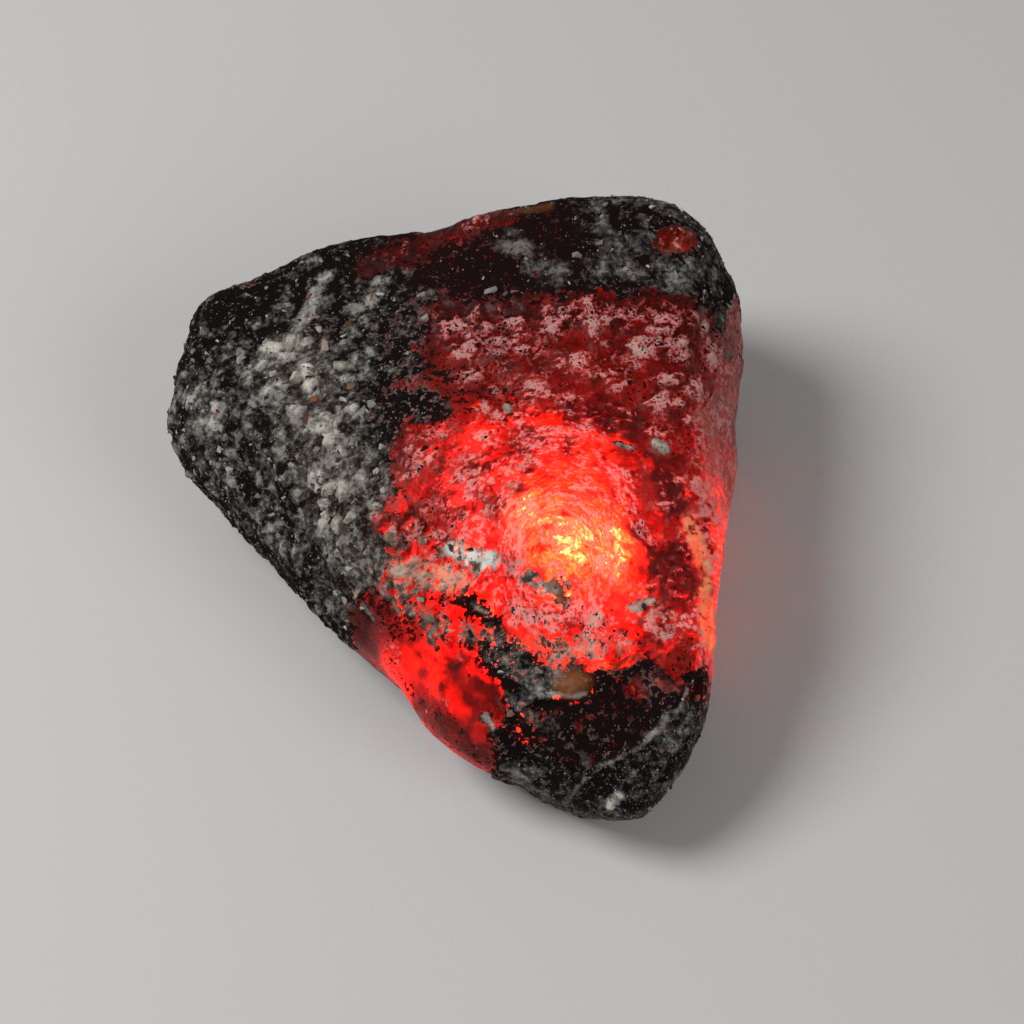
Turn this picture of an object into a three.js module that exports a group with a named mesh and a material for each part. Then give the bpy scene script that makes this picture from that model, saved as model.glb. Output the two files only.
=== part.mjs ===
// A lump of rough amber: one solid piece of fossil resin, resting on its natural flat underside.
// Millimetres, +Z up. The narrow front tip points towards -Y and the broad back towards +Y.
// The origin is at the middle of the outline's box, on the surface that the lump rests on.
import * as THREE from "three";
import { SimplexNoise } from "three/addons/math/SimplexNoise.js";

// Driving dimensions.
const REST_DEPTH = 8.0; // from the core point down to the flat patch that the lump rests on
const MESH_DETAIL = 19; // edge splits of the icosahedron: 20 * (MESH_DETAIL + 1)^2 triangles
const EDGE_SHARPNESS = 18; // how crisply neighbouring faces meet
const SCAR_BLEND = 0.3; // how softly a flake scar's rim meets the skin
const SEED = 7; // start of the random unevenness

// The broad faces of the lump. azimuth is the way a face looks, in degrees from +X towards +Y;
// tilt is its angle above the horizon; reach is its distance from the core point.
const FACES = [
  { name: "top", azimuth: -80, tilt: 85, reach: 8.9 },
  { name: "front_slope", azimuth: -84, tilt: 60, reach: 9.9 },
  { name: "left_shoulder", azimuth: 180, tilt: 76, reach: 8.9 },
  { name: "left_brow", azimuth: 162, tilt: 42, reach: 18.6 },
  { name: "left_flank", azimuth: -134, tilt: 32, reach: 10.3 },
  { name: "left_foot", azimuth: -138, tilt: -20, reach: 12.0 },
  { name: "left_end", azimuth: 165, tilt: 2, reach: 20.7 },
  { name: "back_left", azimuth: 110, tilt: 8, reach: 18.9 },
  { name: "back", azimuth: 92, tilt: 16, reach: 18.45 },
  { name: "back_right", azimuth: 44, tilt: 8, reach: 23.2 },
  { name: "right_rim", azimuth: -4, tilt: 32, reach: 15.9 },
  { name: "right_wall", azimuth: -7, tilt: -4, reach: 16.2 },
  { name: "tip_right", azimuth: -40, tilt: 0, reach: 23.5 },
  { name: "tip_left", azimuth: -113, tilt: -14, reach: 16.8 },
  { name: "front_tip", azimuth: -66, tilt: 0, reach: 23.3 },
  { name: "left_undercut", azimuth: -140, tilt: -52, reach: 12.0 },
  { name: "left_end_undercut", azimuth: 172, tilt: -40, reach: 17.6 },
  { name: "back_undercut", azimuth: 96, tilt: -36, reach: 16.8 },
  { name: "back_right_undercut", azimuth: 44, tilt: -40, reach: 20.2 },
  { name: "right_undercut", azimuth: -8, tilt: -46, reach: 14.8 },
  { name: "front_undercut", azimuth: -66, tilt: -40, reach: 21.0 },
  { name: "underside", azimuth: 0, tilt: -90, reach: 8.5 },
];

// Swellings and hollows in the faces: place from the core point, half-width and outward rise.
const SWELLINGS = [
  { name: "dome", at: [4, -5, 9], width: 5.5, rise: 0.9 },
  { name: "hollow_beside_dome", at: [11.4, -8.2, 5.5], width: 2.3, rise: -1.5 },
  { name: "hollow_behind_dome", at: [10, 0.6, 8], width: 2.6, rise: -0.8 },
  { name: "rim_crest", at: [14.3, -5.5, 5], width: 2.2, rise: 0.5 },
  { name: "rim_foot", at: [14, -12, 0], width: 3.0, rise: -0.35 },
  { name: "back_knoll", at: [5, 12.5, 7.5], width: 3.6, rise: 0.6 },
  { name: "back_dip", at: [-3.5, 13, 6.5], width: 2.4, rise: -0.4 },
  { name: "back_corner", at: [13.5, 14, 5.5], width: 3.0, rise: 0.5 },
  { name: "saddle", at: [-6, 9, 8.5], width: 3.4, rise: -0.8 },
  { name: "left_knoll", at: [-11, 5, 7.5], width: 3.2, rise: 0.8 },
  { name: "left_lobe", at: [-17, 11.5, 3.5], width: 2.8, rise: 1.2 },
  { name: "left_dip", at: [-16, -1, 1.5], width: 3.4, rise: -0.9 },
  { name: "ridge_knob", at: [-7.5, -5.5, 5.5], width: 2.0, rise: 0.6 },
  { name: "flank_swell", at: [-0.8, -14.4, 0], width: 3.6, rise: 0.9 },
  { name: "tip_ball", at: [8.2, -19, -1.5], width: 2.6, rise: 1.0 },
  { name: "tip_neck", at: [12.5, -15, 1], width: 1.6, rise: -0.4 },
];

// Conchoidal fractures: where a flake broke away, the surface follows the inside of a sphere.
const FLAKE_SCARS = [
  { name: "front_scar", middle: [7, -27, 15.5], radius: 15.4 },
  { name: "side_scar", middle: [0.5, -34, 8], radius: 18.6 },
  { name: "right_scar", middle: [28, -24, 17], radius: 14.4 },
  { name: "back_scar", middle: [-2, 38, 4], radius: 22.4 },
  { name: "left_back_scar", middle: [-29, 30, -9], radius: 20.4 },
];

// Unevenness of the whole skin: waves of each size, in millimetres.
const WAVES = [
  { length: 7.5, height: 0.38 },
  { length: 3.4, height: 0.2 },
];

const DEGREE = Math.PI / 180;

// A repeatable stream of random numbers for SimplexNoise, which asks for random().
function randomStream(seed) {
  const MODULUS = 2147483647;
  const MULTIPLIER = 48271;
  let state = seed;
  return {
    random: () => {
      state = (state * MULTIPLIER) % MODULUS;
      return state / MODULUS;
    },
  };
}

function facing(azimuth, tilt) {
  const level = Math.cos(tilt * DEGREE);
  return new THREE.Vector3(
    level * Math.cos(azimuth * DEGREE),
    level * Math.sin(azimuth * DEGREE),
    Math.sin(tilt * DEGREE),
  );
}

const faces = FACES.map((face) => ({ out: facing(face.azimuth, face.tilt), reach: face.reach }));
const noise = new SimplexNoise(randomStream(SEED));

// Distance from the core point to the surface in a direction: the faces, blended where they meet.
function reachOfFaces(direction) {
  let sum = 0;
  for (const face of faces) {
    const share = Math.max(0, face.out.dot(direction)) / face.reach;
    sum += share ** EDGE_SHARPNESS;
  }
  return sum ** (-1 / EDGE_SHARPNESS);
}

// Outward rise of the swellings and hollows at a point of the skin.
function swellingAt(point) {
  let rise = 0;
  for (const swelling of SWELLINGS) {
    const away = point.distanceTo(new THREE.Vector3(...swelling.at)) / swelling.width;
    rise += swelling.rise * Math.exp(-away * away);
  }
  return rise;
}

// Outward rise of the waves at a point of the skin.
function waveAt(point) {
  let rise = 0;
  for (const wave of WAVES) {
    const { x, y, z } = point.clone().divideScalar(wave.length);
    rise += wave.height * noise.noise3d(x, y, z);
  }
  return rise;
}

// Distance to the near side of a flake scar's sphere, or Infinity where the ray misses it.
function reachOfScar(direction, scar) {
  const middle = new THREE.Vector3(...scar.middle);
  const along = direction.dot(middle);
  const inside = along * along - middle.lengthSq() + scar.radius ** 2;
  return along > 0 && inside > 0 ? along - Math.sqrt(inside) : Infinity;
}

// The least of several distances, rounded off where two of them are nearly equal.
function softLeast(distances, blend) {
  const least = Math.min(...distances);
  const shares = distances.map((distance) => Math.exp((least - distance) / blend));
  return least - blend * Math.log(shares.reduce((sum, share) => sum + share, 0));
}

// The surface point in a direction from the core point.
function surfacePoint(direction) {
  const onFaces = direction.clone().multiplyScalar(reachOfFaces(direction));
  const skin = onFaces.length() + swellingAt(onFaces);
  const scars = FLAKE_SCARS.map((scar) => reachOfScar(direction, scar));
  const reach = softLeast([skin, ...scars], SCAR_BLEND) + waveAt(onFaces);
  const point = direction.clone().multiplyScalar(reach);
  point.z = Math.max(point.z, -REST_DEPTH) + REST_DEPTH;
  return point;
}

function lumpGeometry() {
  const geometry = new THREE.IcosahedronGeometry(1, MESH_DETAIL);
  const corners = geometry.attributes.position;
  const direction = new THREE.Vector3();
  for (let index = 0; index < corners.count; index += 1) {
    direction.fromBufferAttribute(corners, index).normalize();
    const { x, y, z } = surfacePoint(direction);
    corners.setXYZ(index, x, y, z);
  }
  geometry.computeBoundingBox();
  const middle = geometry.boundingBox.getCenter(new THREE.Vector3());
  geometry.translate(-middle.x, -middle.y, 0);
  geometry.computeVertexNormals();
  return geometry;
}

const amber = new THREE.MeshStandardMaterial({ color: 0x5a0d06, roughness: 0.45, metalness: 0 });

const lump = new THREE.Mesh(lumpGeometry(), amber);
lump.name = "rough_amber";

const part = new THREE.Group();
part.add(lump);
export default part;
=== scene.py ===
"""Looks of the rough amber lump: a crinkled dark red resin with a weathered, grainy crust.

Sizes are in millimetres and places are from the lump's core point, until they are turned into metres.
"""
import math

import bmesh
import bpy
import numpy as np
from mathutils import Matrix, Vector
from mathutils.bvhtree import BVHTree
from mathutils.geometry import intersect_point_line


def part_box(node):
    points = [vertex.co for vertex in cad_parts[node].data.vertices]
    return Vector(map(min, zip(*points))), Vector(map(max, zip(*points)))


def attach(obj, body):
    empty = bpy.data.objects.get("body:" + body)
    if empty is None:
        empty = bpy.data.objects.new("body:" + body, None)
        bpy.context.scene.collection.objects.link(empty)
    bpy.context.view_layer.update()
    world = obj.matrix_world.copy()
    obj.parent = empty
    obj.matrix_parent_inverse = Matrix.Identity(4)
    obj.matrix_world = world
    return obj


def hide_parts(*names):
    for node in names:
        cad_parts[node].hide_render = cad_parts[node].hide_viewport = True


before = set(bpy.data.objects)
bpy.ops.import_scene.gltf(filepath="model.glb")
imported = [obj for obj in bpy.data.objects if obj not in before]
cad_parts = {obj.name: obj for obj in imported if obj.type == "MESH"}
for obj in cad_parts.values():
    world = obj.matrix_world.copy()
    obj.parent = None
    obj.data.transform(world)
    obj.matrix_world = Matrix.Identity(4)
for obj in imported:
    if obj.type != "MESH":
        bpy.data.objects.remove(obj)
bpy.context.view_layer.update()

MM = 0.001
NODE = "rough_amber"
CORE = np.array([1.05, 0.74, 0.0])  # plan place of the lump's core point in the frame, at floor height

# ---------------------------------------------------------------- camera and lights

CAMERA_ELEVATION = 58.0  # degrees above the horizon, looking along +Y
CAMERA_DISTANCE = 165.0
CAMERA_AIM = np.array([2.33, -5.0, 14.4])
CAMERA_LENS = 95.7  # on a 36 mm sensor
FLOOR_DROP = 0.02  # a gap that keeps the floor off the flat patch
OPENING_PLACE = np.array([3.2, -2.2, 0.0])  # of the round hole in the floor
OPENING_RADIUS = 8.0  # less than the lump's flat patch, which covers it
TORCH_PLACE = np.array([4.8, 1.3, -2.2])  # in the hole, shining up
TORCH_SIZE = (5.0, 2.4)  # an oval, its length turned TORCH_TURN from +X
TORCH_TURN = -35.0
TORCH_SPREAD = 170.0
TORCH_POWER = 0.115
GLOW_PLACE = np.array([3.2, -1.2, -2.8])  # a wide dim lamp in the hole
GLOW_SIZE = 14.0
GLOW_POWER = 0.0125
KEY_PLACE, KEY_SIZE, KEY_POWER = (-190.0, 20.0, 260.0), 150.0, 0.62
FILL_PLACE, FILL_SIZE, FILL_POWER = (200.0, -160.0, 220.0), 200.0, 0.22
LAMP_AIM = (0.0, 0.0, 5.0)
SKY_COLOUR = (0.5, 0.5, 0.5)
SKY_STRENGTH = 0.27
FLOOR_COLOUR = (0.72, 0.71, 0.7)
FLOOR_REACH = 1500.0
FLOOR_SIDES = 64
SEED = 11


def metres(point):
    """A place from the core point, in millimetres, as a Vector in the frame, in metres."""
    return Vector((np.asarray(point, float) + CORE) * MM)


def add_camera():
    data = bpy.data.cameras.new("camera")
    data.lens = CAMERA_LENS
    data.sensor_width = 36.0
    data.clip_start = 0.001
    camera = bpy.data.objects.new("camera", data)
    tilt = math.radians(CAMERA_ELEVATION)
    back = np.array([0.0, -math.cos(tilt), math.sin(tilt)]) * CAMERA_DISTANCE
    camera.location = metres(CAMERA_AIM + back)
    camera.rotation_euler = (math.radians(90.0 - CAMERA_ELEVATION), 0.0, 0.0)
    bpy.context.scene.collection.objects.link(camera)
    bpy.context.scene.camera = camera


def add_area_light(name, place, aim, size, power):
    data = bpy.data.lights.new(name, "AREA")
    data.shape = "DISK"
    data.size = size * MM
    data.energy = power
    light = bpy.data.objects.new(name, data)
    light.location = metres(place)
    light.rotation_euler = (metres(aim) - metres(place)).to_track_quat("-Z", "Y").to_euler()
    bpy.context.scene.collection.objects.link(light)
    return light


def plain_material(name, colour, roughness):
    material = bpy.data.materials.new(name)
    material.use_nodes = True
    shader = material.node_tree.nodes["Principled BSDF"]
    shader.inputs["Base Color"].default_value = (*colour, 1.0)
    shader.inputs["Roughness"].default_value = roughness
    return material


def add_floor():
    """A pale floor with a round opening under the lump, where the torch shines up."""
    turn = np.linspace(0.0, 2.0 * math.pi, FLOOR_SIDES, endpoint=False)
    ring = np.stack([np.cos(turn), np.sin(turn), np.zeros(FLOOR_SIDES)], 1)
    middle = OPENING_PLACE - [0.0, 0.0, FLOOR_DROP]
    inner = ring * OPENING_RADIUS + middle
    far = ring * FLOOR_REACH + middle
    points = [metres(p) for p in np.concatenate([inner, far])]
    faces = []
    for i in range(FLOOR_SIDES):
        after = (i + 1) % FLOOR_SIDES
        faces.append((FLOOR_SIDES + i, FLOOR_SIDES + after, after, i))
    mesh = bpy.data.meshes.new("floor")
    mesh.from_pydata(points, [], faces)
    mesh.materials.append(plain_material("pale_floor", FLOOR_COLOUR, 0.6))
    floor = bpy.data.objects.new("floor", mesh)
    bpy.context.scene.collection.objects.link(floor)


def add_lights():
    add_area_light("key", KEY_PLACE, LAMP_AIM, KEY_SIZE, KEY_POWER)
    add_area_light("fill", FILL_PLACE, LAMP_AIM, FILL_SIZE, FILL_POWER)
    torch = add_area_light("torch", TORCH_PLACE, TORCH_PLACE + [0, 0, 10], TORCH_SIZE[0], TORCH_POWER)
    torch.data.shape = "ELLIPSE"
    torch.data.size_y = TORCH_SIZE[1] * MM
    torch.data.spread = math.radians(TORCH_SPREAD)
    torch.rotation_euler = (math.pi, 0.0, math.radians(TORCH_TURN))
    add_area_light("glow", GLOW_PLACE, GLOW_PLACE + [0, 0, 10], GLOW_SIZE, GLOW_POWER)
    world = bpy.data.worlds.new("studio")
    world.use_nodes = True
    background = world.node_tree.nodes["Background"]
    background.inputs["Color"].default_value = (*SKY_COLOUR, 1.0)
    background.inputs["Strength"].default_value = SKY_STRENGTH
    bpy.context.scene.world = world


# ---------------------------------------------------------------- noise on arrays of points


def hashed(cell, seed):
    """A repeatable random number from 0 to 1 for each whole-number cell."""
    c = cell.astype(np.int64)
    h = c[:, 0] * 73856093 ^ c[:, 1] * 19349663 ^ c[:, 2] * 83492791 ^ (seed * 2654435761)
    h = (h ^ (h >> 13)) * 1274126177 & 0xFFFFFFFF
    h = (h ^ (h >> 16)) * 2246822519 & 0xFFFFFFFF
    return ((h ^ (h >> 15)) & 0xFFFFFF) / float(0xFFFFFF)


CORNERS = [np.array((i, j, k)) for i in (0, 1) for j in (0, 1) for k in (0, 1)]
NEIGHBOURS = [np.array((i, j, k)) for i in (-1, 0, 1) for j in (-1, 0, 1) for k in (-1, 0, 1)]
FLATTEN = np.array((1.0, 1.0, 0.0))  # times a place: the place in plan


def gradient(cell, seed):
    """A repeatable unit arrow for each cell."""
    turn = hashed(cell, seed) * 2.0 * math.pi
    height = hashed(cell, seed + 101) * 2.0 - 1.0
    level = np.sqrt(1.0 - height**2)
    return np.stack([level * np.cos(turn), level * np.sin(turn), height], 1)


def noise(points, size, seed):
    """Smooth random waves, about -1 to 1, with bumps of a size."""
    p = points / size
    base = np.floor(p)
    part = p - base
    fade = part**3 * (part * (part * 6.0 - 15.0) + 10.0)
    total = np.zeros(len(p))
    for corner in CORNERS:
        weight = np.prod(np.where(corner, fade, 1.0 - fade), axis=1)
        total += weight * np.einsum("ij,ij->i", gradient(base + corner, seed), part - corner)
    return total * 1.6


def layered(points, size, seed, octaves=3, gain=0.5):
    """Waves with finer and finer waves on them."""
    total, weight, sum_weight = np.zeros(len(points)), 1.0, 0.0
    for octave in range(octaves):
        total += weight * noise(points, size / 2.0**octave, seed + octave)
        sum_weight += weight
        weight *= gain
    return total / sum_weight


def creased(points, size, seed, octaves=3, gain=0.55):
    """Sharp-edged folds, 0 in the troughs and 1 on the creases, like crumpled foil."""
    total, weight, sum_weight = np.zeros(len(points)), 1.0, 0.0
    for octave in range(octaves):
        ridge = 1.0 - np.abs(noise(points, size / 2.0**octave, seed + octave))
        total += weight * ridge**2
        sum_weight += weight
        weight *= gain
    return total / sum_weight


def cells(points, size, seed):
    """Distances to the nearest two random seed points, and the nearest one's number, 0 to 1."""
    p = points / size
    base = np.floor(p)
    near = np.full(len(p), 9.0)
    second = np.full(len(p), 9.0)
    number = np.zeros(len(p))
    for step in NEIGHBOURS:
        cell = base + step
        jitter = np.stack([hashed(cell, seed + k) for k in (0, 31, 67)], 1)
        away = np.linalg.norm(cell + jitter - p, axis=1)
        closer = away < near
        second = np.where(closer, near, np.minimum(second, away))
        number = np.where(closer, hashed(cell, seed + 97), number)
        near = np.where(closer, away, near)
    return near, second, number


def smooth_step(value, low, high):
    t = np.clip((value - low) / (high - low), 0.0, 1.0)
    return t * t * (3.0 - 2.0 * t)


def spot(points, at, radius, soft=0.4):
    """1 inside a ball round a place, fading to 0 at its radius over a soft share of it."""
    away = np.linalg.norm(points - np.asarray(at, float), axis=1) / radius
    return 1.0 - smooth_step(away, 1.0 - soft, 1.0)


def stroke(points, path, width):
    """1 along a path of places, fading to 0 at half its width to each side."""
    nearest = np.full(len(points), 1e9)
    path = [np.asarray(p, float) for p in path]
    for start, end in zip(path, path[1:]):
        along = end - start
        t = np.clip((points - start) @ along / (along @ along), 0.0, 1.0)
        away = np.linalg.norm(points - (start + t[:, None] * along), axis=1)
        nearest = np.minimum(nearest, away)
    return 1.0 - smooth_step(nearest / (width / 2.0), 0.2, 1.0)


# ---------------------------------------------------------------- the lump's mesh

VOXEL = 0.215  # the fine mesh's step
WELD = 0.01  # corners closer than this are joined
RELAX_ROUNDS = 4


def fine_mesh():
    """An even, fine copy of the CAD lump, as a new object."""
    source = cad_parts[NODE]
    lump = bpy.data.objects.new("amber_lump", source.data.copy())
    bpy.context.scene.collection.objects.link(lump)
    lump.data.materials.clear()
    weld = lump.modifiers.new("weld", "WELD")
    weld.merge_threshold = WELD * MM
    subdivide = lump.modifiers.new("subdivide", "SUBSURF")
    subdivide.levels = 1
    subdivide.render_levels = 1
    remesh = lump.modifiers.new("remesh", "REMESH")
    remesh.mode = "VOXEL"
    remesh.voxel_size = VOXEL * MM
    relax = lump.modifiers.new("relax", "SMOOTH")
    relax.factor = 0.5
    relax.iterations = RELAX_ROUNDS
    mesh = bpy.data.meshes.new_from_object(lump.evaluated_get(bpy.context.evaluated_depsgraph_get()))
    lump.modifiers.clear()
    lump.data = mesh
    mesh.name = "amber_lump"
    return lump


def mesh_points(mesh):
    flat = np.empty(len(mesh.vertices) * 3)
    mesh.vertices.foreach_get("co", flat)
    return flat.reshape(-1, 3) / MM - CORE


def mesh_normals(mesh):
    flat = np.empty(len(mesh.vertices) * 3, np.float32)
    mesh.vertex_normals.foreach_get("vector", flat)
    return flat.reshape(-1, 3).astype(float)


def set_points(mesh, points):
    mesh.vertices.foreach_set("co", ((points + CORE) * MM).ravel())
    mesh.update()


def store(mesh, name, values):
    layer = mesh.attributes.new(name, "FLOAT", "POINT")
    layer.data.foreach_set("value", np.clip(values, 0.0, 1.0).astype(np.float32))


def store_places(mesh, name, places):
    layer = mesh.attributes.new(name, "FLOAT_VECTOR", "POINT")
    layer.data.foreach_set("vector", places.astype(np.float32).ravel())


# ---------------------------------------------------------------- kinds of skin on the lump

# Boundaries between kinds of skin. Each pair is where a change begins and where it ends.
BACK_FRONT = (8.0, 9.6)  # along Y: the dark back beyond the flaky band
BACK_LEFT = (-9.0, -5.0)  # along X
BACK_RIGHT = (5.0, 8.0)  # along X: the greyer right part of the back
LEFT_EDGE = (-8.0, -4.6)  # along X, leaning with Y by LEFT_LEAN: where the gravelly left side ends
LEFT_LEAN = 0.15
LEFT_BACK = (13.5, 16.0)  # along Y, leaning with X by LEFT_BACK_LEAN
LEFT_BACK_LEAN = 0.4
LEFT_FOOT = (5.0, 9.5)  # height: the left side is darker under it
BAND_EDGE = (-3.0, 2.0)  # along X, leaning with Y by BAND_LEAN
BAND_LEAN = 0.5
DOME_MIDDLE = (3.4, -5.6, 0.0)
DOME_RADIUS = 9.2
CORE_PATH = ((3.2, -6.4, 0.0), (8.0, -8.0, 0.0))  # the clearest skin, over the torch
CORE_WIDTH = 4.9
DOME_FRONT = (9.5, 11.5)  # towards -Y
DOME_LEFT = (0.8, 4.6)  # towards -X
LEFT_BLEND_PATH = ((-2.8, -1.0, 0.0), (-3.0, -8.0, 0.0))  # between the dome's film and the left crust
LEFT_BLEND_WIDTH = 6.5
FLANK_AZIMUTH = math.radians(-137.0)  # the way the bare lower-left flank faces
# The crust's edge along that flank, as places along X and distances from the core point.
FLANK_EDGE = ((-9.0, 11.1), (-5.6, 10.9), (-4.4, 10.1), (-1.0, 9.7), (2.0, 9.4))
FLANK_START = (-0.1, 0.25)  # beyond that edge
FLANK_RIGHT = (-0.6, 2.2)  # along X
FLANK_LEFT = (-8.0, -6.2)  # along X
FLANK_FOOT = (5.0, 8.0)  # height
# The right-hand wall's upper edge, as places along Y and their X.
WALL_EDGE = (
    (-14.0, 13.7), (-10.0, 13.8), (-8.0, 13.5), (-6.4, 12.8), (-2.0, 13.0), (1.0, 13.6), (4.0, 14.6),
    (9.0, 15.8), (14.0, 17.5),
)
WALL_START = (-0.15, 0.25)  # beyond that edge
WALL_BACK = (5.0, 9.0)  # along Y
# The crust's front edge and the tip's pale ridge, as places along X and their Y.
LEDGE = (
    (2.0, -16.6), (3.6, -16.0), (5.0, -15.6), (6.6, -14.4), (8.4, -13.9), (10.2, -13.4), (11.6, -13.9),
    (13.4, -13.6),
)
TIP_RIDGE = (
    (2.0, -17.6), (4.4, -18.0), (5.8, -19.4), (6.8, -19.1), (8.5, -18.5), (9.8, -17.8), (12.9, -15.0),
)
LEDGE_START = (-0.1, 0.15)  # in front of the ledge
RIDGE_START = (-0.15, 0.2)  # behind the ridge
SCAR_LEFT = (2.0, 2.8)  # along X
TIP_LEFT = (1.5, 2.8)  # along X
BACK_WALL_SLOPE = (0.3, 0.8)  # how far the skin faces +Y
BACK_WALL_LOW = (1.0, 4.0)  # height
BACK_WALL_HIGH = (9.5, 15.0)  # height
GLINT_PLACE = (12.8, 15.5, 4.0)  # clear skin low on the back, which lights the red spot
GLINT_RADIUS = 5.0
GROUND_TOP = (0.4, 1.6)  # height of the flat patch's rim
# The clear window in the flat patch: two round parts and a bar, as places and radii.
WINDOW_SPOTS = (((4.6, -0.8, 0.0), 9.2, 0.5), ((-1.0, 3.4, 0.0), 5.0, 0.6))  # place, radius, soft share
WINDOW_BAR = ((-1.6, -5.0, 0.0), (3.2, -9.4, 0.0))
WINDOW_BAR_WIDTH = 1.8
WINDOW_CLEAREST = ((5.4, 2.0, 0.0), 5.4, 0.6)  # unstained: place, radius, soft share

WANDER_COARSE, WANDER_FINE = 2.6, 0.9  # sizes of the waves in every boundary
UP_SLOPE = (-0.25, 0.1)  # how far the skin faces up

SMOOTH = {
    "pebbly": 0.0, "wrinkled": 0.0, "flaky": 0.0, "flat": 0.9, "rise": -0.15, "gloss": 1.0, "warm": 0.0,
}
# What the skin is in each zone. lump_coat paints them, each over the ones before it.
ZONES = {
    "crust": {"pale": 0.3, "pebbly": 0.6, "rise": 0.1},
    "back": {"stain": 0.7, "pale": 0.14, "pebbly": 0.4},
    "back_right": {"stain": 0.3, "pale": 0.42},
    "left": {"pale": 0.5, "pebbly": 0.7, "stain": 0.0},
    "left_foot": {"pale": 0.28},
    "band": {"clear": 0.82, "haze": 0.62, "thin": 0.4, "stain": 1.6, "pale": 0.2, "flaky": 1.0,
        "pebbly": 0.2},
    "dome": {"clear": 1.2, "haze": 0.6, "thin": 0.45, "stain": 1.65, "pale": 0.6, "wrinkled": 1.0,
        "pebbly": 0.15, "flaky": 0.0},
    "core": {"clear": 1.5, "haze": 0.5, "thin": 0.1, "stain": 0.36, "gloss": 1.0, "warm": 0.25},
    "front": {"haze": 0.95, "clear": 0.85, "warm": 0.0, "stain": 2.0, "thin": 0.25, "flaky": 0.6,
        "pebbly": 0.35, "wrinkled": 0.5, "pale": 0.6},
    "dome_edge": {"clear": 0.85, "haze": 0.62, "pale": 0.7, "pebbly": 0.5, "flaky": 0.4, "stain": 1.5,
        "thin": 0.45},
    "left_blend": {"clear": 0.85, "haze": 0.6, "stain": 1.6, "thin": 0.45, "pale": 0.5, "pebbly": 0.6},
    "flank": {"clear": 1.35, "haze": 0.0, "pale": 0.1, "stain": 2.0, "thin": 0.0, **SMOOTH,
        "gloss": 0.0, "rise": -0.05},
    "foot": {"clear": 0.8, "haze": 0.4, "thin": 0.2, "stain": 1.9, "pale": 0.3, "rise": 0.05},
    "wall": {"clear": 1.3, "haze": 0.72, "thin": 0.5, "stain": 0.8, "pale": 0.4, **SMOOTH, "flat": 0.6},
    "wall_back": {"clear": 0.75, "haze": 0.55, "pale": 0.3, "stain": 0.9, "thin": 0.6, "gloss": 0.4,
        "pebbly": 0.4},
    "scar": {"clear": 0.15, "haze": 0.0, "pale": 0.02, "stain": 0.5, "sooty": 0.1, **SMOOTH,
        "flat": 0.5, "pebbly": 0.2},
    "tip": {"clear": 0.08, "haze": 0.1, "pale": 0.42, "stain": 0.2, **SMOOTH, "pebbly": 0.45,
        "flat": 0.5, "gloss": 0.7, "sooty": 0.8},
    "back_wall": {"clear": 0.95, "haze": 0.45, "stain": 1.0, "thin": 0.6, "pale": 0.3, "pebbly": 0.4},
    "glint": {"clear": 1.5, "haze": 0.0, "stain": 0.3, "pale": 0.0},
    "ground": {"clear": 0.0, "haze": 0.0, "pale": 0.3, "gloss": 0.0, "flat": 0.9},
    "window": {"clear": 1.5, "haze": 0.0, "pale": 0.0, "window": 1.0},
    "window_bar": {"clear": 0.8, "stain": 1.0},
    "window_outer": {"stain": 1.0},
}

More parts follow.
